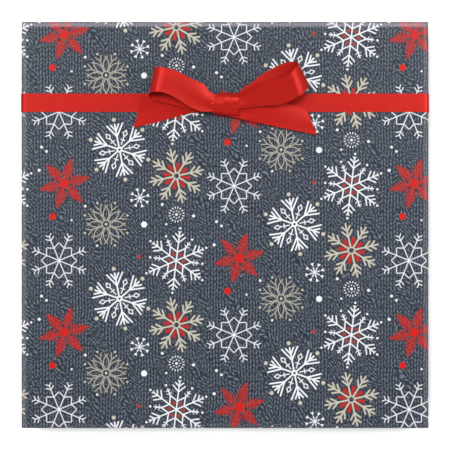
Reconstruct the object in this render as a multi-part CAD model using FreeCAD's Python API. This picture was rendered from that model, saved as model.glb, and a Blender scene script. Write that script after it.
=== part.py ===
import FreeCAD, Part
import math
import os

# A square gift parcel: a two-piece carton inside one sheet of wrapping paper, with one ribbon
# band round it near the +Y end and a tied bow on the band.  Millimetres, +Z up, origin at the
# centre of the face that the parcel stands on.

os.makedirs("parts", exist_ok=True)
Vec = FreeCAD.Vector
X, Y, Z = Vec(1, 0, 0), Vec(0, 1, 0), Vec(0, 0, 1)

# The wrapped parcel
parcel_w = 355.6          # along X, over the paper
parcel_l = 355.6          # along Y, over the end flaps
parcel_h = 50.8           # along Z, over the paper
fold_r = 4.0              # outside radius of the paper where it turns a level edge

# Wrapping paper and its tapes
paper_t = 0.15
paper_gap = 0.1           # slack between the paper and the carton
seam_lap = 25.0           # overlap of the sheet's two long edges, on the underside
end_flap_short = 16.8     # how far the last flap at each end stops below the top face
tape_w = 19.0             # clear adhesive tape
tape_t = 0.06
seam_tape_count = 3
seam_tape_len = 50.0
end_tape_len = 24.0

# Carton
board_t = 1.5
lid_clearance = 0.5       # each side, between the tray and the lid's rim
lid_reveal = 5.0          # how much of the tray shows below the lid's rim

# Ribbon band
band_w = 16.0
band_t = 0.3
band_gap = 0.3            # slack between the band and whatever it goes round
band_inset = 71.4         # the band's centre line, from the parcel's +Y end
band_lap = 20.0           # overlap of the band's two ends, under the bow
band_ramp = 6.0           # length over which the upper end climbs onto the lower one
join_tape_t = 0.1
join_tape_w = 12.0

# Bow
bow_w = 22.0              # width of the bow's ribbon
bow_t = 0.4
knot_size = Vec(24.6, 21.0, 10.0)
knot_r = 4.0              # roundness of the knot's upper edges
knot_y = -1.5             # the knot's centre, from the band's centre line
glue_dot_r = 4.0
glue_dot_t = 0.5
root_w = 15.0             # width of a loop or tail where the knot pinches it
flare = 24.0              # length over which a loop opens to its full width
loop_gap = 3.0            # between the two layers of a loop at the knot
# side: (length from the knot's centre, radius of the far end, heading, lean), degrees and mm
loops = {"left": (66.0, 8.5, 160.0, 16.0), "right": (73.0, 9.5, 22.0, -16.0)}
loop_lift = 5.4           # the loops' middle line above the knot's underside, at the knot
loop_clear = 1.5          # the lowest point of a loop's far end, above the paper
# side: (length from the knot's centre to the middle of the cut, heading, slant of the cut)
tails = {"left": (76.0, 186.5, 30.0), "right": (77.0, -8.5, -30.0)}
tail_lift = 0.2           # above the knot's underside

# Heights that follow from these
tape_low_z = band_t + band_gap               # lowest point of the parcel's own pieces
paper_low_z = tape_low_z + tape_t + paper_t  # underside of the paper, beside its seam
paper_top_z = paper_low_z + parcel_h
band_top_z = paper_top_z + band_gap + band_t
bow_seat_z = band_top_z + join_tape_t + band_t
knot_low_z = bow_seat_z + glue_dot_t
band_y = parcel_l / 2 - band_inset
shell_l = parcel_l - 2 * paper_t             # the paper's tube, without the last flaps
end_flap_h = parcel_h - end_flap_short
carton_edge_r = fold_r - paper_t - paper_gap


def block(low, high):
    """A box between its lowest and highest corners."""
    size = high - low
    return Part.makeBox(size.x, size.y, size.z, low)


def prism(points, origin, across, up, depth):
    """The outline points, in the plane of across and up, extruded depth along across x up."""
    corners = [origin + across * a + up * b for a, b in points]
    face = Part.Face(Part.makePolygon(corners + corners[:1]))
    return face.extrude(across.cross(up) * depth)


def save(name, shape):
    shape.exportStep("parts/%s.step" % name)
    print("%-16s %9.2f mm3, valid %s, solids %d" % (name, shape.Volume, shape.isValid(),
                                                    len(shape.Solids)))


def level(edge):
    """Whether an edge is horizontal."""
    return abs(edge.tangentAt(edge.FirstParameter).z) < 0.5


def rounded_block(low, high, radius, chosen):
    """A box with the edges rounded for which chosen(edge) is true."""
    body = block(low, high)
    return body.makeFillet(radius, [edge for edge in body.Edges if chosen(edge)])


def centred(width, length, low_z, high_z, centre_y=0.0):
    """Lowest and highest corners of a box centred on X = 0."""
    return (Vec(-width / 2, centre_y - length / 2, low_z),
            Vec(width / 2, centre_y + length / 2, high_z))


def lid_outside():
    """Width and length over the lid: the paper's inside, less the slack."""
    wall = paper_t + paper_gap
    return parcel_w - 2 * wall, shell_l - 2 * wall


def make_carton_lid():
    width, length = lid_outside()
    top = paper_top_z - paper_t - paper_gap
    low = paper_low_z + paper_t + paper_gap + lid_reveal
    outside = rounded_block(*centred(width, length, low, top), carton_edge_r,
                            lambda edge: level(edge) and edge.CenterOfMass.z > top - board_t)
    inside = block(*centred(width - 2 * board_t, length - 2 * board_t, low, top - board_t))
    return outside.cut(inside)


def tray_outside():
    inset = 2 * (board_t + lid_clearance)
    width, length = lid_outside()
    return width - inset, length - inset


def make_carton_base():
    width, length = tray_outside()
    low = paper_low_z + paper_t + paper_gap
    top = paper_top_z - paper_t - paper_gap - board_t
    outside = rounded_block(*centred(width, length, low, top), carton_edge_r,
                            lambda edge: level(edge) and edge.CenterOfMass.z < low + board_t)
    inside = block(*centred(width - 2 * board_t, length - 2 * board_t, low + board_t, top))
    return outside.cut(inside)


def make_wrapping_paper():
    """A closed skin with the sheet's overlap under it and the last flap on each end."""
    outside = rounded_block(*centred(parcel_w, shell_l, paper_low_z, paper_top_z), fold_r,
                            level)
    inside = rounded_block(*centred(parcel_w - 2 * paper_t, shell_l - 2 * paper_t,
                                    paper_low_z + paper_t, paper_top_z - paper_t),
                           fold_r - paper_t, level)
    skin = outside.cut(inside)
    lap_low = Vec(-seam_lap / 2, fold_r - shell_l / 2, paper_low_z - paper_t)
    lap = block(lap_low, Vec(seam_lap / 2, -lap_low.y, paper_low_z))
    foot = parcel_w / 2 - fold_r
    head = foot - (end_flap_h - fold_r)
    outline = [(-foot, fold_r), (foot, fold_r), (head, end_flap_h), (-head, end_flap_h)]
    back = prism(outline, Vec(0, parcel_l / 2, paper_low_z), X, Z, paper_t)
    front = prism(outline, Vec(0, -shell_l / 2, paper_low_z), X, Z, paper_t)
    return skin.fuse([lap, back, front]).removeSplitter()


def tape_over_step(edge, along, out, length, step):
    """Tape centred on the edge of a layer: it runs along, down the step and on over the rest.

    edge is on the lower surface, under the layer's edge; out points away from the surface.
    """
    half = length / 2
    outline = [(-half, step), (0, step), (0, 0), (half, 0), (half, tape_t),
               (tape_t, tape_t), (tape_t, step + tape_t), (-half, step + tape_t)]
    side = along.cross(out)
    return prism(outline, edge - side * (tape_w / 2), along, out, tape_w)


def make_seam_tape():
    """Equal strips across the seam, evenly spaced along the parcel, as one group."""
    pitch = parcel_l / seam_tape_count
    places = [(i - (seam_tape_count - 1) / 2) * pitch for i in range(seam_tape_count)]
    edge_x = seam_lap / 2
    strips = [tape_over_step(Vec(edge_x, y, paper_low_z), X, -Z, seam_tape_len, paper_t)
              for y in places]
    return Part.makeCompound(strips)


def make_end_tape(side):
    """The strip that holds an end's last flap; side is 1 at the +Y end and -1 at the other."""
    edge = Vec(0, side * shell_l / 2, paper_low_z + end_flap_h)
    return tape_over_step(edge, Z, Y * side, end_tape_len, paper_t)


def rounded_frame(low, high, radius, wall, depth, y):
    """A rounded rectangular ring in the XZ plane: wall thick, depth long in Y, centred on y."""
    solids = []
    for grow in (wall, 0.0):
        body = block(Vec(low.x - grow, y - depth / 2, low.z - grow),
                     Vec(high.x + grow, y + depth / 2, high.z + grow))
        along_y = [e for e in body.Edges if abs(e.tangentAt(e.FirstParameter).y) > 0.9]
        solids.append(body.makeFillet(radius + grow, along_y))
    return solids[0].cut(solids[1])


def make_ribbon_band():
    """One strip round the parcel whose upper end climbs onto the lower one, under the bow."""
    half = parcel_w / 2 + band_gap
    ring = rounded_frame(Vec(-half, 0, band_t), Vec(half, 0, band_top_z - band_t),
                         fold_r + band_gap, band_t, band_w, band_y)
    lap_x = band_lap / 2
    foot_x = -lap_x - band_ramp
    back_y = band_y + band_w / 2
    gap = block(Vec(foot_x, band_y - band_w, band_top_z - 2 * band_t),
                Vec(-lap_x, band_y + band_w, band_top_z + band_t))
    high = band_top_z + join_tape_t
    climb = prism([(foot_x, band_top_z - band_t), (-lap_x, high), (-lap_x, high + band_t),
                   (foot_x, band_top_z)], Y * back_y, X, Z, band_w)
    upper_end = block(Vec(-lap_x, band_y - band_w / 2, high), Vec(lap_x, back_y, high + band_t))
    return ring.cut(gap).fuse([climb, upper_end]).removeSplitter()


def make_band_join_tape():
    return block(*centred(band_lap, join_tape_w, band_top_z, band_top_z + join_tape_t, band_y))


def make_bow_glue_dot():
    return Part.makeCylinder(glue_dot_r, glue_dot_t, Vec(0, band_y + knot_y, bow_seat_z), Z)


def knot_corners():
    return centred(knot_size.x, knot_size.y, knot_low_z, knot_low_z + knot_size.z,
                   band_y + knot_y)


def make_bow_knot():
    return rounded_block(*knot_corners(), knot_r,
                         lambda edge: edge.CenterOfMass.z > knot_low_z + knot_r / 2)


def clear_of_knot(shape):
    """The part of shape beyond the knot's two sides, which it meets face to face."""
    low, high = knot_corners()
    reach = 2 * knot_size.y
    return shape.cut(block(Vec(low.x, low.y - reach, low.z - reach),
                           Vec(high.x, high.y + reach, high.z + reach)))


def loop_outline(length, end_r):
    """A drop-shaped strip of even thickness, open at the knot: two straight layers and a turn.

    Each straight run leaves the knot at half loop_gap from the middle line and meets the
    turn's circle as a tangent, so its slope follows from the two radii and the distance.
    """
    centre = length - end_r

    def side(start, radius):
        reach = math.hypot(centre, start)
        slope = math.asin(radius / reach) - math.atan2(start, centre)
        return -radius * math.sin(slope) + centre, radius * math.cos(slope)

    outer_start = loop_gap / 2 + bow_t
    outer = side(outer_start, end_r)
    inner = side(loop_gap / 2, end_r - bow_t)
    return [(0, outer_start), outer, (length, 0), (outer[0], -outer[1]), (0, -outer_start),
            (0, -loop_gap / 2), (inner[0], -inner[1]), (length - bow_t, 0), inner,
            (0, loop_gap / 2)]


def make_bow_loop(length, end_r, heading, lean):
    """A drop-shaped loop of ribbon, leaning to one side and narrowed towards the knot.

    It rises from the knot just steeply enough for its far end to stand clear of the paper.
    """
    tilt = math.radians(abs(lean))
    depth = end_r * math.cos(tilt) + bow_w / 2 * math.sin(tilt)
    climb = depth + loop_clear - (knot_low_z + loop_lift - paper_top_z)
    rise = math.degrees(math.asin(climb / (length - end_r)))
    turn = FreeCAD.Rotation(Z, heading).multiply(FreeCAD.Rotation(Y, -rise))
    turn = turn.multiply(FreeCAD.Rotation(X, lean))
    out, across, up = (turn.multVec(axis) for axis in (X, Y, Z))
    root = Vec(0, band_y + knot_y, knot_low_z + loop_lift)
    places = [root + out * a + up * b for a, b in loop_outline(length, end_r)]
    edges = [Part.makeLine(places[0], places[1]),
             Part.Arc(places[1], places[2], places[3]).toShape(),
             Part.makeLine(places[3], places[4]), Part.makeLine(places[4], places[5]),
             Part.makeLine(places[5], places[6]),
             Part.Arc(places[6], places[7], places[8]).toShape(),
             Part.makeLine(places[8], places[9]), Part.makeLine(places[9], places[0])]
    strip = Part.Face(Part.Wire(edges)).extrude(across * bow_w)
    strip.translate(across * (-bow_w / 2))
    start = knot_size.x / 2
    half_root, half = root_w / 2, bow_w / 2
    plan = [(0, -half_root), (start, -half_root), (start + flare, -half), (length + end_r, -half),
            (length + end_r, half), (start + flare, half), (start, half_root), (0, half_root)]
    mask = prism(plan, root - up * length, out, across, 2 * length)
    return clear_of_knot(strip.common(mask))


def make_bow_tail(length, heading, slant):
    """A flat tail: pinched at the knot, full width at its slanting cut."""
    turn = FreeCAD.Rotation(Z, heading)
    out, across = turn.multVec(X), turn.multVec(Y)
    half_root, half = root_w / 2, bow_w / 2
    skew = half * math.tan(math.radians(slant))
    outline = [(0, -half_root), (length - skew, -half), (length + skew, half), (0, half_root)]
    root = Vec(0, band_y + knot_y, knot_low_z + tail_lift)
    return clear_of_knot(prism(outline, root, out, across, bow_t))


save("carton_base", make_carton_base())
save("carton_lid", make_carton_lid())
save("wrapping_paper", make_wrapping_paper())
save("seam_tape", make_seam_tape())
save("back_end_tape", make_end_tape(1))
save("front_end_tape", make_end_tape(-1))
save("ribbon_band", make_ribbon_band())
save("band_join_tape", make_band_join_tape())
save("bow_glue_dot", make_bow_glue_dot())
save("bow_knot", make_bow_knot())
for side, values in loops.items():
    save("bow_loop_" + side, make_bow_loop(*values))
for side, values in tails.items():
    save("bow_tail_" + side, make_bow_tail(*values))
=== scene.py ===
import math
import bmesh
import bpy
import mathutils
import numpy as np
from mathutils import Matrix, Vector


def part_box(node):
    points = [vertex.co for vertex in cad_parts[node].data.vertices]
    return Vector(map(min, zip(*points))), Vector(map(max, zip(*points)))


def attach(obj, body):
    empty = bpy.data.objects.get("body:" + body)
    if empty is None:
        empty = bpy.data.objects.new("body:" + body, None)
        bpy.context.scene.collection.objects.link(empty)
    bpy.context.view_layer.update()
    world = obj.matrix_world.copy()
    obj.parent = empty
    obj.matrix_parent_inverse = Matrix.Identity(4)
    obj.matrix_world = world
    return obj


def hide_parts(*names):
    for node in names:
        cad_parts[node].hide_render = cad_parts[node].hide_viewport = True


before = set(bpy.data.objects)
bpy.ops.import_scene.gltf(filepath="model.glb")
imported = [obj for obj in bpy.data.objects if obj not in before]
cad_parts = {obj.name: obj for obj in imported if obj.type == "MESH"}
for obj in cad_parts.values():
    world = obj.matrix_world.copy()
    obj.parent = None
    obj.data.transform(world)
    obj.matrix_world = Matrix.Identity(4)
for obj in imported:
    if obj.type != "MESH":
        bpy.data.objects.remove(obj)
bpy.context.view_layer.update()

mm = 0.001
print("frame loaded:", len(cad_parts), "nodes")


def rgb(red, green, blue):
    # screen colour 0 to 255 to linear: the usual power curve with a short straight start
    linear = [c / 12.92 if c <= 0.04045 else ((c + 0.055) / 1.055) ** 2.4
              for c in (red / 255, green / 255, blue / 255)]
    return (*linear, 1.0)


class Wire:
    # one socket of a material; arithmetic on it adds Math nodes

    def __init__(self, tree, socket=None):
        self.tree, self.socket = tree, socket

    def node(self, kind, settings=None, inputs=None, out=0):
        # any node: its type, its settings, then the values or links of its sockets
        made = self.tree.nodes.new("ShaderNode" + kind)
        for key, value in (settings or {}).items():
            setattr(made, key, value)
        for key, value in (inputs or {}).items():
            if isinstance(value, Wire):
                self.tree.links.new(value.socket, made.inputs[key])
            else:
                made.inputs[key].default_value = value
        return Wire(self.tree, made.outputs[out])

    def math(self, operation, *values, clamp=False):
        return self.node("Math", {"operation": operation, "use_clamp": clamp},
                         dict(enumerate(values)))

    def vector(self, operation, *values, out=0):
        return self.node("VectorMath", {"operation": operation}, dict(enumerate(values)), out)

    def __add__(self, other):
        return self.math("ADD", self, other)

    def __radd__(self, other):
        return self.math("ADD", other, self)

    def __sub__(self, other):
        return self.math("SUBTRACT", self, other)

    def __rsub__(self, other):
        return self.math("SUBTRACT", other, self)

    def __mul__(self, other):
        return self.math("MULTIPLY", self, other)

    def __rmul__(self, other):
        return self.math("MULTIPLY", other, self)

    def sine(self):
        return self.math("SINE", self)

    def cosine(self):
        return self.math("COSINE", self)

    def round(self):
        return self.math("ROUND", self)

    def absolute(self):
        return self.math("ABSOLUTE", self)

    def zigzag(self, length):
        # climbs from 0 to length and falls back again, over and over
        return self.math("PINGPONG", self, length)

    def size(self):
        return self.vector("LENGTH", self, out=1)

    def scaled(self, factor, shift, clamp=False):
        # this socket times factor plus shift, kept between 0 and 1 if clamp is set
        return self.math("MULTIPLY_ADD", self, factor, shift, clamp=clamp)

    def contrast(self, gain):
        # stretched about a half by this gain, and kept between 0 and 1
        return self.scaled(gain, 0.5 - gain / 2, clamp=True)

    def lower(self, other):
        return self.math("MINIMUM", self, other)

    def upper(self, other):
        return self.math("MAXIMUM", self, other)

    def mix(self, first, second):
        # first where this socket is 0, second where it is 1
        return self.node("Mix", {"data_type": "RGBA"}, {0: self, 6: first, 7: second}, out=2)

    def noise(self, scale, detail=2.0, roughness=0.5):
        return self.node("TexNoise", None, {"Vector": self, "Scale": scale, "Detail": detail,
                                            "Roughness": roughness})


def newMaterial(name, **values):
    # a material whose shader has these values on its own sockets, and a Wire to build from
    material = bpy.data.materials.new(name)
    material.use_nodes = True
    shader = material.node_tree.nodes["Principled BSDF"]
    for key, value in values.items():
        shader.inputs[key].default_value = value
    return material, Wire(material.node_tree), shader


def objectPlace(wire):
    # the place on the piece in its own coordinates, in metres
    return wire.node("TexCoord", None, None, out=3)


def feed(wire, shader, socket):
    wire.tree.links.new(wire.socket, shader.inputs[socket])


def bump(wire, shader, strength, distance):
    made = wire.node("Bump", None, {"Strength": strength, "Distance": distance, "Height": wire})
    feed(made, shader, "Normal")


def thicken(piece, thickness):
    # a live wall of even thickness, half on each side of the surface
    wall = piece.modifiers.new("thickness", "SOLIDIFY")
    wall.thickness, wall.offset = thickness, 0.0


def gridFaces(rows, columns, start=0):
    # the four corners of each cell of a grid of points, in order round the cell
    index = np.arange(rows * columns).reshape(rows, columns) + start
    return np.stack([index[:-1, :-1], index[:-1, 1:], index[1:, 1:], index[1:, :-1]],
                    -1).reshape(-1, 4)


def meshFrom(name, patches, body, weld=2e-6, outward=None, crispRim=False):
    # patches are (points, places on the flat sheet), each a grid; shared borders are welded,
    # the face furthest towards outward is made to face that way, and crispRim keeps the
    # shading of a free edge apart from the thin wall that thickness adds there
    points, flats, faces, start = [], [], [], 0
    for grid, flat in patches:
        rows, columns = grid.shape[:2]
        faces.append(gridFaces(rows, columns, start))
        points.append(grid.reshape(-1, 3))
        flats.append(flat.reshape(-1, 2))
        start += rows * columns
    points, flats, faces = np.concatenate(points), np.concatenate(flats), np.concatenate(faces)
    mesh = bpy.data.meshes.new(name)
    mesh.from_pydata(points.tolist(), [], faces.tolist())
    layer = mesh.uv_layers.new(name="Sheet")
    layer.data.foreach_set("uv", flats[faces.reshape(-1)].astype(np.float32).ravel())
    work = bmesh.new()
    work.from_mesh(mesh)
    bmesh.ops.remove_doubles(work, verts=work.verts, dist=weld)
    bmesh.ops.recalc_face_normals(work, faces=work.faces)
    if outward is not None:
        work.faces.ensure_lookup_table()
        middle = max(work.faces, key=lambda f: f.calc_center_median().dot(outward))
        if middle.normal.dot(outward) < 0:
            bmesh.ops.reverse_faces(work, faces=work.faces)
    if crispRim:
        for edge in work.edges:
            edge.smooth = not edge.is_boundary
    work.to_mesh(mesh)
    work.free()
    mesh.polygons.foreach_set("use_smooth", np.ones(len(mesh.polygons), dtype=bool))
    piece = bpy.data.objects.new(name, mesh)
    bpy.context.scene.collection.objects.link(piece)
    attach(piece, body)
    return piece


paperLow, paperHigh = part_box("wrapping_paper")
view = {"lens": 100.0, "sensor": 36.0, "span": 0.3919, "aim": (0.0, 0.0), "clip": (0.05, 20.0)}
light = {
    "sun": 2.2, "fromLeft": 11.0, "fromFar": 9.4, "sunSize": 11.0, "sky": 0.42,
    # each softbox: where it stands, how wide it is, its power in watts, and gloss only or not
    "softboxes": [
        ((-0.62, 0.30, 1.05), 0.5, 3.2, False),
        ((0.80, 0.30, 0.90), 0.5, 4.6, False),
        ((-0.20, -0.90, 0.90), 0.6, 1.5, False),
        ((0.40, 0.85, 1.30), 0.5, 13.0, True),
        ((-0.75, 0.45, 1.10), 0.5, 7.5, True),
        ((0.95, 0.30, 0.95), 0.5, 8.0, True)],
}
studioFloor = {"half": 4.0, "colour": (0.96, 0.96, 0.965, 1.0), "roughness": 0.9, "grain": 40.0,
               "mottle": 0.01, "tone": 0.985}


def setCamera():
    # the frame's width at the parcel's top face sets the camera's distance
    data = bpy.data.cameras.new("camera")
    data.lens, data.sensor_width = view["lens"], view["sensor"]
    data.clip_start, data.clip_end = view["clip"]
    camera = bpy.data.objects.new("camera", data)
    camera.location = (*view["aim"], paperHigh[2] + view["span"] * view["lens"] / view["sensor"])
    bpy.context.scene.collection.objects.link(camera)
    bpy.context.scene.camera = camera


def setLight():
    # one soft sun nearly overhead and three weak softboxes at the sides, under an even pale
    # sky; three more softboxes are seen only in the satin's gloss
    data = bpy.data.lights.new("sun", "SUN")
    data.energy, data.angle = light["sun"], math.radians(light["sunSize"])
    sun = bpy.data.objects.new("sun", data)
    sun.rotation_euler = (-math.radians(light["fromFar"]), -math.radians(light["fromLeft"]), 0.0)
    sun.visible_glossy = False           # gloss comes from the softboxes and the sky
    bpy.context.scene.collection.objects.link(sun)
    for place, width, power, glossOnly in light["softboxes"]:
        data = bpy.data.lights.new("softbox", "AREA")
        data.energy, data.size = power, width
        box = bpy.data.objects.new("softbox", data)
        box.location = place
        box.visible_diffuse = not glossOnly
        box.rotation_euler = (-mathutils.Vector(place)).to_track_quat("-Z", "Y").to_euler()
        bpy.context.scene.collection.objects.link(box)
    world = bpy.data.worlds.new("studio")
    world.use_nodes = True
    world.node_tree.nodes["Background"].inputs["Color"].default_value = (1.0, 1.0, 1.0, 1.0)
    world.node_tree.nodes["Background"].inputs["Strength"].default_value = light["sky"]
    bpy.context.scene.world = world
    bpy.context.scene.view_settings.view_transform = "Standard"


def makeFloor():
    # a pale sheet of studio card at the height that the parcel stands on
    half = studioFloor["half"]
    mesh = bpy.data.meshes.new("floor")
    mesh.from_pydata([(-half, -half, 0), (half, -half, 0), (half, half, 0), (-half, half, 0)],
                     [], [(0, 1, 2, 3)])
    floor = bpy.data.objects.new("floor", mesh)
    bpy.context.scene.collection.objects.link(floor)
    material, wire, shader = newMaterial("studioCard", Roughness=studioFloor["roughness"])
    place = objectPlace(wire)
    tone = place.noise(studioFloor["grain"]).scaled(studioFloor["mottle"], studioFloor["tone"])
    feed(tone.mix((0.0, 0.0, 0.0, 1.0), studioFloor["colour"]), shader, "Base Color")
    mesh.materials.append(material)


setCamera()
setLight()
makeFloor()
print("camera, light and floor set")

# All in metres but the counts.  The end folds lie in layers, counted in gaps outwards from the
# end of the parcel: the side panels first, then the top flap, then the last flap.
paper = {
    "width": 0.3556, "length": 0.3550, "fold": 0.004, "upright": 0.0008, "flap": 0.034,
    "lap": 0.025, "thickness": 0.00015, "gap": 0.0001, "sideLayer": -1.0, "topLayer": 0.5,
    "lastLayer": 1.6, "lapLayer": 0.8, "settle": 0.004, "edgeLift": 0.0006, "columns": 40,
    "foldSteps": 6, "sideSteps": 10, "flapSteps": 12,
    # how quickly the upper and the lower gusset leave the side panel's layer
    "gussetPower": (2.0, 0.4),
}


def makePaper():
    # One sheet: a tube along Y with its seam underneath, and an envelope fold at each end.
    # Every part is a grid of (place, place on the flat sheet); the flat sheet is measured from
    # the middle of the top face, a to the right round the tube and b along it.
    r, flap, lap, gap = paper["fold"], paper["flap"], paper["lap"] / 2, paper["gap"]
    tight = paper["upright"]             # radius of the upright edges, much sharper than r
    low, high = paperLow[2] + paper["thickness"], paperHigh[2]
    halfX, halfY = paper["width"] / 2, paper["length"] / 2
    flatX, flatY, height, spread = halfX - r, halfY - r, high - low, r - tight
    edgeX, edgeY = halfX - tight, halfY - tight
    quarter = math.pi / 2
    arc = r * quarter
    acrossTop = np.linspace(-flatX, flatX, paper["columns"] + 1)
    along = np.linspace(-flatY, flatY, paper["columns"] + 1)
    fromMiddle = np.linspace(-1, 1, paper["columns"] + 1)
    fromSeam = np.linspace(0, 1, paper["columns"] + 1)
    under = np.linspace(-lap, flatX, paper["columns"] + 1)
    upSide = np.linspace(low + r, high - r, paper["sideSteps"] + 1)
    bend = np.linspace(0, quarter, paper["foldSteps"] + 1)
    out = np.linspace(0, flap, paper["flapSteps"] + 1)
    share = np.linspace(0, 1, paper["flapSteps"] + 1)
    sideStart = flatX + arc              # flat distance from the middle to the side panel's top
    underStart = sideStart + height - 2 * r + arc
    patches = []

    def stack(x, y, z, a, b):
        parts = np.broadcast_arrays(x, y, z, a, b)
        patches.append((np.stack(parts[:3], -1), np.stack(parts[3:], -1)))

    def settle(distance):
        # layers part smoothly from nothing at a fold to their full spacing
        return 1 - np.exp(-distance / paper["settle"])

    def overSeam(x, side):
        # 1 where the left half lies over the right one, falling to 0 just past the lap
        return np.clip((lap + paper["settle"] - x) / paper["settle"], 0, 1) * (side < 0)

    # the top face
    x, y = np.meshgrid(acrossTop, along, indexing="ij")
    stack(x, y, high, x, y)
    for side in (1, -1):
        # the rounded long edges and the side panels
        turn, k = np.meshgrid(bend, fromMiddle, indexing="ij")
        y = k * (flatY + spread * np.sin(turn))
        stack(side * (flatX + r * np.sin(turn)), y, high - r + r * np.cos(turn),
              side * (flatX + r * turn), y)
        z, y = np.meshgrid(upSide, fromMiddle * edgeY, indexing="ij")
        stack(side * halfX, y, z, side * (sideStart + high - r - z), y)
        turn, k = np.meshgrid(bend, fromMiddle, indexing="ij")
        y = k * (flatY + spread * np.cos(turn))
        stack(side * (flatX + r * np.cos(turn)), y, low + r - r * np.sin(turn),
              side * (underStart - arc + r * turn), y)
        # the underside's half; the left half runs on over the right one, one layer lower
        x, y = np.meshgrid(under, along, indexing="ij")
        stack(side * x, y, low - paper["thickness"] * overSeam(x, side),
              side * (underStart + flatX - x), y)
        for end in (1, -1):
            base = end * halfY
            # the sharp upright edges between this side's panel and the end
            z, turn = np.meshgrid(upSide, bend, indexing="ij")
            stack(side * (edgeX + tight * np.cos(turn)), end * (edgeY + tight * np.sin(turn)),
                  z, side * (sideStart + high - r - z), end * (edgeY + tight * turn))
            # the rounded end of the underside's half
            k, turn = np.meshgrid(fromSeam, bend, indexing="ij")
            x = -lap + (flatX + spread * np.sin(turn) + lap) * k
            radius = r + paper["thickness"] * overSeam(x, side)
            stack(side * x, end * (flatY + radius * np.sin(turn)),
                  low + r - radius * np.cos(turn), side * (underStart + flatX - x),
                  end * (flatY + r * turn))
            # the four corners, where the level folds meet in a mitre with a hair of roundness
            for up in (1, -1):
                tip, turn = np.meshgrid(bend, bend, indexing="ij")
                middle = high - r if up > 0 else low + r
                flat = flatX + r * tip if up > 0 else underStart - r * tip
                reach = np.sin(tip)
                stack(side * (flatX + reach * (spread + tight * np.cos(turn))),
                      end * (flatY + reach * (spread + tight * np.sin(turn))),
                      middle + up * r * np.cos(tip), side * flat,
                      end * (flatY + reach * (spread + tight * turn)))
            # the side panel folded flat against the end
            z, d = np.meshgrid(upSide, out, indexing="ij")
            stack(side * (edgeX - d), base + end * paper["sideLayer"] * gap * settle(d), z,
                  side * (sideStart + high - r - z), end * (flatY + arc + d))
            for up, layer, power in zip((1, -1), (paper["topLayer"], paper["lastLayer"]),
                                        paper["gussetPower"]):
                # the gusset: folded back under the flap along a line at 45 degrees
                q, d = np.meshgrid(share, out, indexing="ij")
                climb = (layer - paper["sideLayer"]) * q ** power
                lift = gap * settle(d) * (paper["sideLayer"] + climb)
                edge = high - r if up > 0 else low + r
                flat = edgeX - q * d if up > 0 else underStart + q * d
                stack(side * (edgeX - d), base + end * lift, edge - up * q * d,
                      side * flat, end * (flatY + arc + d))
            # this side's half of the last flap, folded up over everything
            k, d = np.meshgrid(fromSeam, out, indexing="ij")
            x = -lap + (edgeX - d + lap) * k
            free = paper["edgeLift"] * (d / flap) ** 3 * np.sin(np.pi * k) ** 2
            layer = paper["lastLayer"] + paper["lapLayer"] * overSeam(x, side)
            stack(side * x, base + end * (layer * gap * settle(d) + free), low + r + d,
                  side * (underStart + flatX - x), end * (flatY + arc + d))
    for end in (1, -1):
        # the top face's rounded end and its flap, folded down first
        k, turn = np.meshgrid(fromMiddle, bend, indexing="ij")
        x = k * (flatX + spread * np.sin(turn))
        stack(x, end * (flatY + r * np.sin(turn)), high - r + r * np.cos(turn),
              x, end * (flatY + r * turn))
        k, d = np.meshgrid(fromMiddle, out, indexing="ij")
        x = k * (edgeX - d)
        stack(x, end * (halfY + paper["topLayer"] * gap * settle(d)), high - r - d,
              x, end * (flatY + arc + d))
    piece = meshFrom("wrapping_paper_sheet", patches, "parcel", outward=(0, 0, 1))
    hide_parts("wrapping_paper")
    girth = 2 * (underStart + flatX) + 2 * lap
    2 * (flatY + arc + flap)
    return piece


paperSheet = makePaper()
print("paper folded:", len(paperSheet.data.polygons), "faces")

# Lengths in the print are in drawing units, a little under a millimetre, so that a repeat is
# 152.4 mm wide; angles are degrees.  The print repeats on a half drop: each column of repeats
# sits half a repeat lower than the one to its left.
printed = {
    "unit": 0.0009954, "repeat": (153.1, 130.3), "roughness": 0.42, "gloss": 0.14,
    "white": rgb(214, 215, 219), "beige": rgb(174, 169, 154), "red": rgb(178, 22, 16),
    "dullRed": rgb(162, 34, 28), "brick": rgb(140, 52, 48),
    # half the width of an ink's soft edge, and the darker shade round each motif
    "soft": 0.34, "softer": 0.5, "softest": 0.6, "shade": rgb(34, 39, 47), "shadeWidth": 1.0,
    "shadeDepth": 0.5,
}
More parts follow.
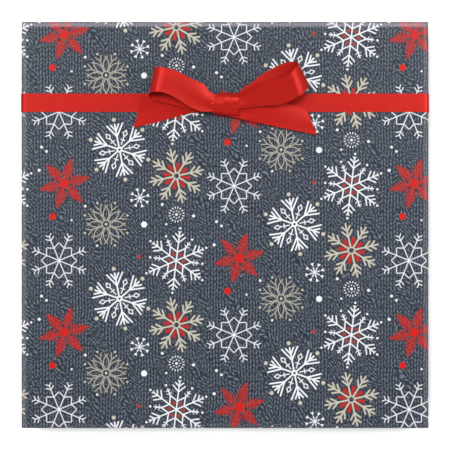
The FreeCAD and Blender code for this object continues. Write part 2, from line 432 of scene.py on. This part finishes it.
# In a motif, x runs along an arm and y away from it.  Strokes are (x, y, x, y), dots are
# (x, y, radius) and rings are (radius, half their width).  A name that starts with mid counts
# along the line midway between two arms and away from it, and a link runs from x on an arm to
# such a place.  The fine strokes have a thinner line.
motifs = {
    "featherStar": {
        "centre": (-140.6, 36.3), "arms": 6, "angle": 14.0, "reach": 21.9, "halfWidth": 3.9,
        "taper": 0.42, "taperFrom": 9.6, "barbPitch": 2.7, "barbSlant": 0.9, "barbDepth": 0.8,
        "slit": 0.26, "spine": 1.9, "spineFade": 2.0, "hole": (6.1, 1.5), "hub": 3.4},
    "hubFlake": {
        "centre": (-42.5, 42.9), "arms": 8, "angle": 12.8, "line": 0.7, "petal": (5.6, 10.4),
        "petalHalf": 1.5, "rings": [(2.8, 0.6)],
        "strokes": [(3.2, 0, 23.8, 0), (11.9, 0, 17.3, 4.3), (17.2, 0, 21.4, 3.5)]},
    "petalFlake": {
        "centre": (-104.0, 0.7), "arms": 8, "angle": 0.0, "line": 0.30,
        "strokes": [(3.9, 0.9, 7.6, 2.5), (7.6, 2.5, 11.4, 2.3), (11.4, 2.3, 15.2, 0.3),
                    (15.2, 0.3, 16.8, 1.2)],
        "midStrokes": [(8.0, 0, 13.6, 0), (13.2, 0, 18.0, 2.8)],
        "rings": [(3.5, 0.32)], "dots": [(0, 0, 1.15)], "midDots": [(20.1, 1.0)]},
    "boldStar": {
        "centre": (-92.3, 65.9), "arms": 6, "angle": 41.0, "line": 0.62, "rings": [(1.9, 0.75)],
        "strokes": [(3.0, 0, 22.6, 0), (11.6, 0, 22.3, 7.0), (16.6, 0, 22.2, 3.4)],
        "outerDot": (26.6, 1.7),
        "fine": {"arms": 6, "line": 0.42, "strokes": [],
                 "midStrokes": [(12.3, 0, 15.0, 1.9), (15.0, 1.9, 17.9, 0), (4.8, 0, 12.3, 0),
                                (9.0, 0, 9.0, 1.8)]}},
    "diamondStar": {
        "centre": (-42.6, -31.1), "arms": 6, "angle": 23.0, "line": 0.52, "diamond": (6.1, 2.2),
        "strokes": [(0, 0, 25.4, 0), (15.6, 0, 20.8, 5.3), (20.4, 0, 23.4, 3.4)],
        "links": [(7.4, 13.3, 0)], "midStrokes": [(13.3, 0, 19.4, 0)],
        "dots": [(28.4, 0, 0.95)], "upperDot": (23.0, 0.95), "upperFrom": -10.0,
        "fine": {"arms": 6, "line": 0.312, "strokes": [(24.2, 0, 25.6, 1.3)],
                 "midStrokes": [(14.2, 0, 15.6, 2.2), (17.0, 0, 18.3, 1.7)]}},
    "thinStar": {
        "centre": (-145.2, -31.1), "arms": 8, "angle": 22.5, "line": 0.37, "dots": [(0, 0, 1.2)],
        "strokes": [(0, 0, 22.7, 0), (18.8, 0, 21.2, 3.5), (22.2, 0, 24.4, 2.3)],
        "links": [(11.7, 15.2, 0.45)]},
    "dropFlower": {
        "centre": (-74.6, 23.7), "arms": 8, "angle": 16.5, "line": 0.35, "dropSlope": 0.5,
        "dropFrom": 2.7, "dropEnd": 8.3, "strokes": [(1.0, 0, 4.6, 0)],
        "dots": [(3.3, 0, 0.6), (0, 0, 1.0)]},
    "dottedRound": {
        "centre": (-42.4, 9.2), "arms": 8, "angle": 0.0, "line": 0.4, "dash": (5.7, 6.6),
        "dots": [(3.2, 0, 0.5), (0, 0, 1.1)]},
}
# loose snow and berries, each (x, y, radius) in one repeat of the print
snowCentre = (120.0, 60.0)
snow = [(98.2, 83.2, 1.2), (125.6, 73.1, 1.3), (82.3, 65.6, 2.6), (101.7, 65.9, 0.9),
        (145.7, 68.1, 1.2), (150.0, 64.4, 1.1), (143.6, 47.8, 1.3), (183.9, 16.5, 1.1),
        (172.0, 4.2, 0.85), (194.3, 112.1, 0.9)]
redBerry, brickBerry = (155.3, 7.4, 3.0), (77.7, 37.2, 1.8)
# A cable knit: legs of stitches lean in pairs along plain columns, and in cables they are
# longer and lean both ways.  Warps and waves are how far the columns swing, in drawing units.
knit = {
    "dark": rgb(31, 37, 46), "light": rgb(96, 104, 116), "legWidth": 2.62, "stitchHeight": 4.0,
    "legSlope": 0.95, "warp": 3.0, "warpScale": 0.05, "cableHalf": 15.0, "cableLeg": 2.9,
    "cableStitch": 5.2, "cableShare": 0.25, "cableWarp": 22.0, "cableSlant": 0.72,
    "cableRagged": 1.2, "waveLength": 33.0, "waveSize": 4.0, "jitter": 0.5, "ripple": 1.5,
    "rippleScale": 0.2, "dashDepth": 0.55, "dashShift": 0.58, "patchScale": 0.45,
    "patchDepth": 2.4, "patchShift": -0.2,
}
# how wide the worn line along a fold of the top face is, and how pale it is along each fold; the
# paleness is partly wear and partly a painted highlight, strongest on the far and left folds that
# face the light
rubAndHighlight = {
    "colour": rgb(205, 196, 208), "width": 3.6, "grainScale": 0.7, "grain": 0.9,
    "grainShift": 0.55,
    "left": 0.10, "right": 0.06, "far": 0.24, "near": 0.02,
}


def point(x, y):
    return (x, y, 0.0)


def fromCentre(x, y, centre):
    # offset from the nearest repeat of centre: whole columns in x, then half drops in y
    stepX, stepY = printed["repeat"]
    column = x.scaled(1 / stepX, -centre[0] / stepX).round()
    dx = column.scaled(-stepX, x - centre[0])
    dy = column.scaled(stepY / 2, y - centre[1])
    return dx, dy.math("WRAP", dy, stepY / 2, -stepY / 2)


def joined(x, y):
    return x.node("CombineXYZ", None, {"X": x, "Y": y})


def split(place):
    # the first two parts of a place
    parts = place.node("SeparateXYZ", None, {"Vector": place})
    return parts, Wire(place.tree, parts.socket.node.outputs[1])


def foldArms(dx, dy, arms, angle):
    # the same place in one half sector: along the nearest arm, and away from it on either side
    turn = dy.math("ARCTAN2", dy, dx) - math.radians(angle)
    turn = turn.zigzag(math.pi / arms)
    radius = joined(dx, dy).size()
    return joined(radius * turn.cosine(), radius * turn.sine())


def between(arms, along, away=0.0):
    # a place given along the line midway between two arms, and away from it towards an arm
    half = math.pi / arms
    return (along * math.cos(half) + away * math.sin(half),
            along * math.sin(half) - away * math.cos(half))


def stroke(place, start, end):
    # distance to the straight stroke from start to end: its nearest point is start + h * run
    run = (end[0] - start[0], end[1] - start[1])
    square = run[0] ** 2 + run[1] ** 2
    along = place.vector("DOT_PRODUCT", place, point(run[0] / square, run[1] / square), out=1)
    h = along.math("SUBTRACT", along, (start[0] * run[0] + start[1] * run[1]) / square,
                   clamp=True)
    nearest = h.vector("MULTIPLY_ADD", h, point(*run), point(*start))
    return place.vector("DISTANCE", place, nearest, out=1)


def dot(place, centre, radius):
    return place.vector("DISTANCE", place, point(*centre), out=1) - radius


def ring(place, radius, half):
    # distance to a ring round the motif's middle, reaching half on each side of its radius
    return (place.size() - radius).absolute() - half


def strokes(place, m):
    # distance to the nearest stroke of a motif, less half its line's width
    arms, ends = m["arms"], list(m["strokes"])
    for x0, y0, x1, y1 in m.get("midStrokes", []):
        ends.append(between(arms, x0, y0) + between(arms, x1, y1))
    for x0, x1, y1 in m.get("links", []):
        ends.append((x0, 0) + between(arms, x1, y1))
    nearest = stroke(place, ends[0][:2], ends[0][2:])
    for end in ends[1:]:
        nearest = nearest.lower(stroke(place, end[:2], end[2:]))
    return nearest - m["line"]


def withDots(shape, place, m):
    # the shape together with a motif's rings and dots
    for radius, half in m.get("rings", []):
        shape = shape.lower(ring(place, radius, half))
    for x, y, radius in m.get("dots", []):
        shape = shape.lower(dot(place, (x, y), radius))
    for along, radius in m.get("midDots", []):
        shape = shape.lower(dot(place, between(m["arms"], along), radius))
    return shape


def ink(distance, soft=None):
    # 1 inside the shape and 0 outside it, with a soft printed edge
    return distance.scaled(-0.5 / (soft or printed["soft"]), 0.5, clamp=True)


def paint(colour, distance, name, soft=None, shade=True):
    # the ink over what is already printed, inside a thin darker shade round it
    if shade:
        width = printed["shadeWidth"]
        around = ink(distance - width, width) * printed["shadeDepth"]
        colour = around.mix(colour, printed["shade"])
    return ink(distance, soft).mix(colour, printed[name])


def motifPlace(x, y, name):
    # the place folded into one half sector of a motif, and the motif's settings
    m = motifs[name]
    dx, dy = fromCentre(x, y, m["centre"])
    return foldArms(dx, dy, m["arms"], m["angle"]), m


def featherStar(x, y, colour):
    # red star: arms that taper outwards with waves for barbs, slits between the barbs away from
    # the spine, and a round hub with a hole between each two arms
    p, m = motifPlace(x, y, "featherStar")
    along, away = split(p)
    barbs = ((along - away * m["barbSlant"]) * (2 * math.pi / m["barbPitch"])).sine()
    taper = (m["taperFrom"] - along * m["taper"]).lower(m["halfWidth"])
    body = (away - taper + barbs * m["barbDepth"]).upper(along - m["reach"])
    spine = (m["spine"] - away * m["spineFade"]).upper(0.0)
    slits = (barbs - m["slit"]) * m["barbDepth"] - spine
    holes = -1.0 * dot(p, between(m["arms"], m["hole"][0]), m["hole"][1])
    colour = paint(colour, body.upper(slits).upper(holes), "dullRed", printed["softer"])
    return paint(colour, dot(p, (0, 0), m["hub"]), "red", shade=False)


def hubFlake(x, y, colour):
    # beige twigs from a ring, over red petals
    p, m = motifPlace(x, y, "hubFlake")
    petal = stroke(p, *[between(m["arms"], end) for end in m["petal"]]) - m["petalHalf"]
    colour = paint(colour, petal, "dullRed", printed["softer"])
    return paint(colour, withDots(strokes(p, m), p, m), "beige")


def petalFlake(x, y, colour):
    # beige open petals, with forked twigs and dots between them
    p, m = motifPlace(x, y, "petalFlake")
    return paint(colour, withDots(strokes(p, m), p, m), "beige")


def boldStar(x, y, colour):
    # white three-pronged arms, outlined diamonds between them, and beige dots beyond
    p, m = motifPlace(x, y, "boldStar")
    shape = withDots(strokes(p, m), p, m).lower(strokes(p, m["fine"]))
    colour = paint(colour, shape, "white")
    return paint(colour, dot(p, (m["outerDot"][0], 0), m["outerDot"][1]), "beige")


def diamondStar(x, y, colour):
    # white star with a brick-red diamond between each two arms: the sum of the distances
    # along and away from its middle; the dots between the arms are left out on the lowest two
    p, m = motifPlace(x, y, "diamondStar")
    along, away = split(p)
    middle = between(m["arms"], m["diamond"][0])
    diamond = (along - middle[0]).absolute() + (away - middle[1]).absolute() - m["diamond"][1]
    colour = paint(colour, diamond, "brick", printed["softer"], shade=False)
    shape = withDots(strokes(p, m), p, m).lower(strokes(p, m["fine"]))
    belowUpper = m["upperFrom"] - fromCentre(x, y, m["centre"])[1]
    upperDots = dot(p, between(m["arms"], m["upperDot"][0]), m["upperDot"][1])
    return paint(colour, shape.lower(upperDots.upper(belowUpper)), "white")


def thinStar(x, y, colour):
    # thin white star with open diamonds round its middle
    p, m = motifPlace(x, y, "thinStar")
    return paint(colour, withDots(strokes(p, m), p, m), "white")


def dropFlower(x, y, colour):
    # small white flower: drops that widen outwards, on short stalks
    p, m = motifPlace(x, y, "dropFlower")
    along, away = split(p)
    drop = (away - (along * m["dropSlope"] - m["dropFrom"])).upper(along - m["dropEnd"])
    return paint(colour, withDots(strokes(p, m).lower(drop), p, m), "white")


def dottedRound(x, y, colour):
    # small round white flake: a dot on each arm, and dashes at a quarter of the way between
    p, m = motifPlace(x, y, "dottedRound")
    dash = stroke(p, *[between(2 * m["arms"], end) for end in m["dash"]]) - m["line"]
    return paint(colour, withDots(dash, p, m), "white")


def looseSnow(x, y, colour):
    # white dots of snow and two berries, all in one repeat
    p = joined(*fromCentre(x, y, snowCentre))

    def loose(spot):
        return dot(p, (spot[0] - snowCentre[0], spot[1] - snowCentre[1]), spot[2])

    flakes = loose(snow[0])
    for spot in snow[1:]:
        flakes = flakes.lower(loose(spot))
    colour = paint(colour, flakes, "white")
    colour = paint(colour, loose(redBerry), "red", shade=False)
    return paint(colour, loose(brickBerry), "brick", printed["softest"], shade=False)


def drawKnit(x, y):
    # Each leg of a stitch is a soft light dash on the dark ground.  u counts the legs across and
    # v the stitches up; the height within a pair of legs climbs towards the line they share.
    place = joined(x, y)
    turn = 2 * math.pi
    warp = place.noise(knit["warpScale"], 1.0) - 0.5
    plainU = (x + warp * knit["warp"]) * (1 / knit["legWidth"])
    plainV = y * (1 / knit["stitchHeight"])
    # in a cable the columns lean both ways from its middle line, with longer stitches
    lean = x.zigzag(knit["cableHalf"])
    slant = knit["cableSlant"]
    cableU = (lean + y + warp * knit["cableWarp"]) * (slant / knit["cableLeg"])
    cableV = (lean - y) * (slant / knit["cableStitch"])
    wave = (y * (turn / knit["waveLength"])).sine() * knit["waveSize"]
    side = ((x + wave) * (math.pi / knit["cableHalf"])).sine() + warp * knit["cableRagged"]
    cable = side.math("GREATER_THAN", side, knit["cableShare"])
    u = plainU + (cableU - plainU) * cable
    fold = u.zigzag(1.0)                          # 0 and 1 on the lines between legs
    leg = u.math("FLOOR", u)
    jitter = leg.node("TexWhiteNoise", {"noise_dimensions": "1D"}, {"W": leg})
    v = plainV + (cableV - plainV) * cable - fold * knit["legSlope"] + jitter * knit["jitter"]
    v = v + (place.noise(knit["rippleScale"], 1.0) - 0.5) * knit["ripple"]
    dash = (v * turn).cosine().scaled(knit["dashDepth"], knit["dashShift"])
    body = (fold * math.pi).sine()
    patches = place.noise(knit["patchScale"], 2.0).scaled(knit["patchDepth"], knit["patchShift"])
    light = (body * body * dash * patches).scaled(1.0, 0.0, clamp=True)
    return light.mix(knit["dark"], knit["light"])


def rubAndPaintedHighlight(x, y, colour):
    # the ink worn paler along the folds of the top face, with a painted highlight over the far
    # and left folds that face the light: over each fold the paleness is full within a quarter of
    # its width from its middle line and fades to nothing at three quarters
    flatX = (paper["width"] / 2 - paper["fold"]) / printed["unit"]
    flatY = (paper["length"] / 2 - paper["fold"]) / printed["unit"]
    wearAndHighlight = None
    for place, fold, side in ((x, -flatX, "left"), (x, flatX, "right"), (y, flatY, "far"),
                              (y, -flatY, "near")):
        middle = fold + math.copysign(rubAndHighlight["width"] / 3, fold)
        one = (place - middle).absolute().scaled(-2 / rubAndHighlight["width"], 1.5, clamp=True)
        one = one * rubAndHighlight[side]
        wearAndHighlight = one if wearAndHighlight is None else wearAndHighlight.upper(one)
    grain = joined(x, y).noise(rubAndHighlight["grainScale"], 2.0)
    grain = grain.scaled(rubAndHighlight["grain"], rubAndHighlight["grainShift"])
    # paler towards the rub colour: real wear on every fold, and a painted highlight mostly on the
    # folds facing the light
    return (wearAndHighlight * grain).mix(colour, rubAndHighlight["colour"])


def paperMaterial():
    # matt printed paper: the knit, the motifs over it, then the worn folds with their painted
    # highlight
    material, wire, shader = newMaterial("printedPaper", **{
        "Roughness": printed["roughness"], "Specular IOR Level": printed["gloss"]})
    sheet = wire.node("UVMap", {"uv_map": "Sheet"})
    scale = 1 / printed["unit"]
    x, y = split(sheet.vector("MULTIPLY", sheet, (scale, scale, 0.0)))
    # each motif is drawn over what is already there, so few values wait at a time
    colour = drawKnit(x, y)
    for draw in (featherStar, hubFlake, petalFlake, boldStar, diamondStar, thinStar, dropFlower,
                 dottedRound, looseSnow):
        colour = draw(x, y, colour)
    feed(rubAndPaintedHighlight(x, y, colour), shader, "Base Color")
    return material


paperSheet.data.materials.append(paperMaterial())
print("paper printed")

# Places on the ribbon and bow are millimetres from the knot's middle in plan, and heights are
# above the paper's top face.
knotLow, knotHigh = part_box("bow_knot")
bandLow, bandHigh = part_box("ribbon_band")
knotX, knotY = (knotLow[0] + knotHigh[0]) / 2, (knotLow[1] + knotHigh[1]) / 2
# streaks and clouds are how many there are to the metre, along and across the ribbon
satin = {
    "red": rgb(172, 24, 16), "deep": rgb(152, 20, 12), "streakShare": 0.55, "contrast": 1.4,
    "roughness": 0.40, "streakGloss": 0.18, "gloss": 0.12, "lustre": 0.24,
    "streaks": (22.0, 900.0, 0.0), "clouds": (30.0, 60.0, 0.0), "warp": 0.5, "weft": 0.25,
    "threadPitch": 0.00045, "threadHeight": 0.00006, "threadStrength": 0.25,
    "thickness": 0.00035,
}


def through(places, count):
    # a natural cubic spline through a few places, spaced evenly by the distance between them
    p = np.array(places, float)
    step = np.linalg.norm(np.diff(p, axis=0), axis=1)
    at = np.concatenate([[0], np.cumsum(step)])
    inner = np.arange(1, len(p) - 1)
    matrix, right = np.eye(len(p)), np.zeros_like(p)
    matrix[inner, inner - 1], matrix[inner, inner + 1] = step[:-1], step[1:]
    matrix[inner, inner] = 2 * (step[:-1] + step[1:])
    slope = np.diff(p, axis=0) / step[:, None]
    right[inner] = 6 * np.diff(slope, axis=0)
    bend = np.linalg.solve(matrix, right)
    s = np.linspace(0, at[-1], count)
    k = np.clip(np.searchsorted(at, s, "right") - 1, 0, len(p) - 2)
    h, u, v = step[k][:, None], (at[k + 1] - s)[:, None], (s - at[k])[:, None]
    return (bend[k] * u ** 3 / (6 * h) + bend[k + 1] * v ** 3 / (6 * h)
            + (p[k] / h - bend[k] * h / 6) * u + (p[k + 1] / h - bend[k + 1] * h / 6) * v)


def normals(points):
    # the direction square to a grid of points at each of them
    across = np.cross(np.gradient(points, axis=0), np.gradient(points, axis=1))
    return across / np.maximum(np.linalg.norm(across, axis=-1, keepdims=True), 1e-12)


def ribbonPiece(name, strip, node, fold):
    # One length of ribbon: two edges, each a smooth curve through the stations' places, joined
    # straight across; fold(s, v) in mm lifts it square to itself, with s along and v across,
    # and a crown lifts its middle in an arch.
    flat, count, rows = strip["flat"], strip["count"], strip["rows"]
    both = np.array(strip["stations"], float)
    pair = through(both.reshape(len(both), 6), count)
    v = np.linspace(0, 1, rows)[None, :, None]
    points = pair[:, None, :3] * (1 - v) + pair[:, None, 3:] * v
    s, v = np.meshgrid(np.linspace(0, 1, count), np.linspace(0, 1, rows), indexing="ij")
    lift = strip.get("crown", 0.0) * 4 * v * (1 - v) + fold(s, v)
    points = points + normals(points) * lift[..., None]
    points = points * mm + np.array([knotX, knotY, paperHigh[2]])
    sheetPlace = np.stack([s * flat[0], v * flat[1]], -1)
    piece = meshFrom(name, [(points, sheetPlace)], "ribbon", crispRim=True)
    thicken(piece, satin["thickness"])
    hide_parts(node)
    piece.data.materials.append(satinMaterial)


def makeSatin():
    # satin ribbon: fine warp threads along it, the weft across them, and long soft streaks
    material, wire, shader = newMaterial(
        "redSatin", **{"Metallic": satin["lustre"], "Specular IOR Level": satin["gloss"]})
    place = wire.node("UVMap", {"uv_map": "Sheet"})
    streak = place.vector("MULTIPLY", place, satin["streaks"]).noise(1.0, 2.0)
    cloud = place.vector("MULTIPLY", place, satin["clouds"]).noise(1.0, 1.0)
    share = satin["streakShare"]
    tone = (streak * share + cloud * (1 - share)).contrast(satin["contrast"])
    feed(tone.mix(satin["deep"], satin["red"]), shader, "Base Color")
    smoothest = satin["roughness"] - satin["streakGloss"] / 2
    feed(streak.scaled(satin["streakGloss"], smoothest), shader, "Roughness")
    along, across = split(place)
    warp = (across * (2 * math.pi / satin["threadPitch"])).sine()
    weft = (along * (2 * math.pi / (satin["threadPitch"] * 2))).sine()
    threads = satin["warp"] * warp + satin["weft"] * weft + streak
    bump(threads, shader, satin["threadStrength"], satin["threadHeight"])
    return material


satinMaterial = makeSatin()

leftLoop = {
    "flat": (0.150, 0.022), "count": 120, "rows": 15,
    # each station is a place on the far edge and one on the near edge
    "stations": [
        ((-3, 6.5, 10.4), (-3, -5.5, 9.6)), ((-11.4, 8.7, 10.8), (-11.4, -6.9, 9.8)),
        ((-16.6, 14.7, 13), (-20.8, -6.9, 11.8)), ((-24.9, 19, 16), (-32.1, -2.1, 15.5)),
        ((-38.4, 25.4, 19), (-45.2, 5.5, 19.5)), ((-48.8, 29, 20), (-54.4, 8.7, 21)),
        ((-56.6, 30.4, 18), (-61.4, 9.1, 19)), ((-60.6, 30.5, 12), (-65.9, 7.4, 12.5)),
        ((-58.8, 27.5, 7), (-64.2, 4.4, 7)), ((-46.5, 22.0, 5), (-53.4, 1.0, 4.8)),
        ((-33, 17.6, 4.9), (-40.4, -2.2, 4.7)), ((-21, 13.2, 5), (-28.4, -5.0, 4.8)),
        ((-10.5, 7.6, 5.6), (-12, -6.6, 5.4)), ((-3, 6, 6), (-3, -5.4, 5.8))],
}
rightLoop = {
    "flat": (0.168, 0.022), "count": 130, "rows": 15,
    "stations": [
        ((3, 6.6, 10.4), (3, -4.6, 9.2)), ((11.7, 9.2, 12.6), (12.2, -4.2, 8.8)),
        ((25.3, 15.4, 16.8), (29.5, -2.4, 8.2)), ((32.5, 18.6, 18.6), (38.6, -1.8, 9.6)),
        ((41.9, 19.6, 20), (48.3, -0.8, 12)), ((51.1, 21.4, 21.3), (57.6, 2.7, 15)),
        ((56.3, 25, 22), (62.8, 5.4, 17)), ((60.4, 29.5, 20.5), (68.2, 9.2, 15)),
        ((63.1, 34.1, 15.5), (72, 15.5, 9.5)), ((61.9, 36, 10), (70.5, 17, 5)),
        ((57.2, 36.4, 6.8), (64, 16.6, 3.6)), ((49.8, 34.9, 5.6), (56.5, 14.6, 3.4)),
        ((42.4, 31.4, 5.2), (49, 10.9, 3.6)), ((33, 26.2, 5.2), (39.5, 6.1, 4.2)),
        ((24.5, 19.7, 5.4), (30, -0.9, 4.8)), ((17, 13.9, 5.6), (19, -5.4, 5.2)),
        ((11, 9.6, 6), (11.5, -6.9, 5.4)), ((3, 6.1, 6), (3, -5.4, 5.8))],
}
leftTail = {
    "flat": (0.080, 0.022), "count": 60, "rows": 15,
    "stations": [
        ((-3, 5.1, 3.4), (-6, -5.9, 2.4)), ((-14, 7.6, 3.4), (-14, -6.5, 2.2)),
        ((-30, 9.1, 3.3), (-29.5, -7.5, 1.7)), ((-50, 8.6, 3.2), (-52, -13.4, 1.1)),
        ((-71.2, 5.7, 2.8), (-79.7, -20.2, 0.7))],
}
rightTail = {
    "flat": (0.088, 0.022), "count": 66, "rows": 15,
    "stations": [
        ((2, 3.6, 7.4), (-2, -9.2, 4.6)), ((12, 3.2, 7.4), (7, -11.3, 5)),
        ((21, 2.6, 7), (15, -13, 4.8)), ((31, 2.4, 6.4), (24, -15.3, 4.4)),
        ((42, 2.0, 5.4), (37, -18.1, 3.8)), ((52, 0.9, 4), (51.5, -21, 3.1)),
        ((71, -4.8, 2.2), (80, -26.5, 1.5))],
}
knot = {
    "flat": (0.044, 0.022), "count": 60, "rows": 41, "crown": 0.9,
    # each station is a place on the left edge and one on the right edge, from the +Y side over
    "stations": [
        ((-11, 8.1, 1.8), (11.2, 8.9, 1.8)), ((-11.8, 8.4, 4.8), (11.7, 9, 4.8)),
        ((-12.4, 6.4, 9), (12.0, 7, 9.4)), ((-13, 2, 10.6), (12.2, 2, 10.7)),
        ((-12.8, -3.6, 9.8), (12.3, -4.6, 9)), ((-11.6, -7.6, 6.6), (12.3, -9.8, 6.2)),
        ((-10, -8.1, 2), (12.3, -10.6, 2))],
}

# heights in mm; fades, places and widths are shares of the ribbon's length
folds = {
    "loopPinch": 1.3, "loopFadeUpper": 0.12, "loopFadeLower": 0.09, "loopTurn": 0.6,
    "loopSway": 0.3, "swayTurn": 0.4,
    "tailPleat": 0.5, "tailFade": 0.2, "tailCurl": 0.3,
    "knotPleat": 0.22, "knotPleats": 3.2, "knotSlant": 0.55, "knotShallow": 0.35,
    "knotRidge": 0.25, "ridgeSlant": 0.12, "ridgeWidth": 0.07,
}


def loopFold(s, v):
    # a lengthwise dent at each end, where the knot pinches the loop, and a slight sway between
    pinch = np.exp(-s / folds["loopFadeUpper"]) + np.exp(-(1 - s) / folds["loopFadeLower"])
    dent = -folds["loopPinch"] * pinch * np.cos(2 * math.pi * v + folds["loopTurn"])
    return dent + folds["loopSway"] * np.sin(math.pi * s) * np.cos(
        math.pi * v + folds["swayTurn"])


def tailFold(s, v):
    # pleats at the knot that die away along the tail, and a slight curl at its cut
    pleats = folds["tailPleat"] * np.exp(-s / folds["tailFade"]) * np.cos(3 * math.pi * v)
    return pleats + folds["tailCurl"] * s ** 3 * np.cos(2 * math.pi * v)


def knotFold(s, v):
    # slanting pleats over the knot, deeper near its lower left, and one soft ridge across it
    depth = folds["knotPleat"] * (folds["knotShallow"] + (1 - folds["knotShallow"]) * s * (1 - v))
    pleats = depth * np.sin(2 * math.pi * folds["knotPleats"] * (folds["knotSlant"] * s + v))
    away = (s - 0.5 + folds["ridgeSlant"] * (v - 0.5)) / folds["ridgeWidth"]
    return (pleats + folds["knotRidge"] * np.exp(-away ** 2)) * np.sin(math.pi * s)


for side, loop, tail in (("left", leftLoop, leftTail), ("right", rightLoop, rightTail)):
    ribbonPiece("bow_loop_" + side + "_satin", loop, "bow_loop_" + side,
                loopFold)
    ribbonPiece("bow_tail_" + side + "_satin", tail, "bow_tail_" + side,
                tailFold)
ribbonPiece("bow_knot_satin", knot, "bow_knot", knotFold)
print("bow tied")

band = {
    "width": 0.016, "thickness": 0.0003, "lapHalf": 0.010, "ramp": 0.006, "climb": 0.0004,
    # the outer face of the band over the paper, and the radius round the parcel's edges
    "rise": 0.0006, "fold": 0.0043, "rows": 5, "bendSteps": 9, "topSteps": 40, "underSteps": 60,
}


def makeBand():
    # One strip round the parcel: from its lower end under the knot, right, under, up the left
    # side and back over its own start.  Its middle line in X and Z is straight runs and quarter
    # turns, carried across the width in Y.
    half = band["thickness"] / 2
    left, right = bandLow[0] + half, bandHigh[0] - half
    low, top = bandLow[2] + half, paperHigh[2] + band["rise"] - half
    turn, lap = band["fold"] + half, band["lapHalf"]
    bend = np.linspace(0, math.pi / 2, band["bendSteps"])

    def corner(x, z, start):
        # a quarter turn clockwise about x and z, from the start angle
        angle = math.radians(start) - bend
        return np.stack([x + turn * np.cos(angle), z + turn * np.sin(angle)], -1)

    def level(start, end, z, steps):
        x = np.linspace(start, end, steps)
        return np.stack([x, np.full_like(x, z)], -1)

    high = top + band["climb"]
    parts = [
        level(-lap, right - turn, top, band["topSteps"])[:-1],
        corner(right - turn, top - turn, 90.0), corner(right - turn, low + turn, 0.0),
        level(right - turn, left + turn, low, band["underSteps"])[1:-1],
        corner(left + turn, low + turn, -90.0), corner(left + turn, top - turn, 180.0),
        level(left + turn, -lap - band["ramp"], top, band["topSteps"])[1:],
        level(-lap, lap, high, 2)]
    line = np.concatenate(parts)
    length = np.concatenate([[0], np.cumsum(np.linalg.norm(np.diff(line, axis=0), axis=1))])
    v = np.linspace(0, 1, band["rows"])
    middle = (bandLow[1] + bandHigh[1]) / 2
    y = middle + (v - 0.5) * band["width"]
    shape = (len(line), len(v))
    points = np.stack([np.broadcast_to(line[:, :1], shape), np.broadcast_to(y, shape),
                       np.broadcast_to(line[:, 1:], shape)], -1)
    flatPlace = np.stack([np.broadcast_to(length[:, None], shape),
                          np.broadcast_to(v * band["width"], shape)], -1)
    piece = meshFrom("ribbon_band_satin", [(points, flatPlace)], "ribbon", crispRim=True)
    thicken(piece, band["thickness"])
    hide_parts("ribbon_band")
    piece.data.materials.append(satinMaterial)


makeBand()
print("band wrapped")

board = {"dark": rgb(160, 150, 135), "light": rgb(206, 198, 184), "contrast": 1.6,
         "roughness": 0.85, "pulpScale": 90.0, "fleckScale": 700.0, "tooth": 0.0001,
         "toothStrength": 0.3}
tape = {"thin": rgb(225, 226, 222), "cloudy": rgb(246, 246, 243), "index": 1.48,
        "cloudScale": 160.0, "rippleScale": 60.0, "ripple": 0.0001, "rippleStrength": 0.3,
        # roughness and opacity, each a gain and a shift of the same clouds
        "haze": (0.25, 0.05), "opacity": (0.5, -0.02)}
glue = {"thin": rgb(224, 218, 196), "cloudy": rgb(240, 237, 224), "roughness": 0.25,
        "cloudScale": 500.0}


def boardMaterial():
    # grey carton board: a mottled pulp with short flecks and a faint tooth
    material, wire, shader = newMaterial("cartonBoard", Roughness=board["roughness"])
    place = objectPlace(wire)
    pulp, fleck = place.noise(board["pulpScale"], 4.0), place.noise(board["fleckScale"], 2.0)
    tone = (pulp * 0.5 + fleck * 0.5).contrast(board["contrast"])
    feed(tone.mix(board["dark"], board["light"]), shader, "Base Color")
    bump(fleck, shader, board["toothStrength"], board["tooth"])
    return material


def tapeMaterial():
    # clear adhesive tape: mostly seen through, glossy, with a few cloudy patches of air
    material, wire, shader = newMaterial("clearTape", IOR=tape["index"])
    place = objectPlace(wire)
    cloud = place.noise(tape["cloudScale"], 3.0)
    feed(cloud.scaled(*tape["haze"], clamp=True), shader, "Roughness")
    feed(cloud.scaled(*tape["opacity"], clamp=True), shader, "Alpha")
    feed(cloud.mix(tape["thin"], tape["cloudy"]), shader, "Base Color")
    bump(place.noise(tape["rippleScale"], 2.0), shader, tape["rippleStrength"], tape["ripple"])
    return material


def glueMaterial():
    # set hot glue: cloudy, smooth and slightly yellow
    material, wire, shader = newMaterial("setGlue", Roughness=glue["roughness"])
    cloud = objectPlace(wire).noise(glue["cloudScale"], 2.0)
    feed(cloud.mix(glue["thin"], glue["cloudy"]), shader, "Base Color")
    return material


def dress(material, *nodes):
    for node in nodes:
        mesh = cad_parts[node].data
        mesh.materials.clear()
        mesh.materials.append(material)


dress(boardMaterial(), "carton_base", "carton_lid")
dress(tapeMaterial(), "seam_tape", "back_end_tape", "front_end_tape", "band_join_tape")
dress(glueMaterial(), "bow_glue_dot")
print("carton, tape and glue finished")
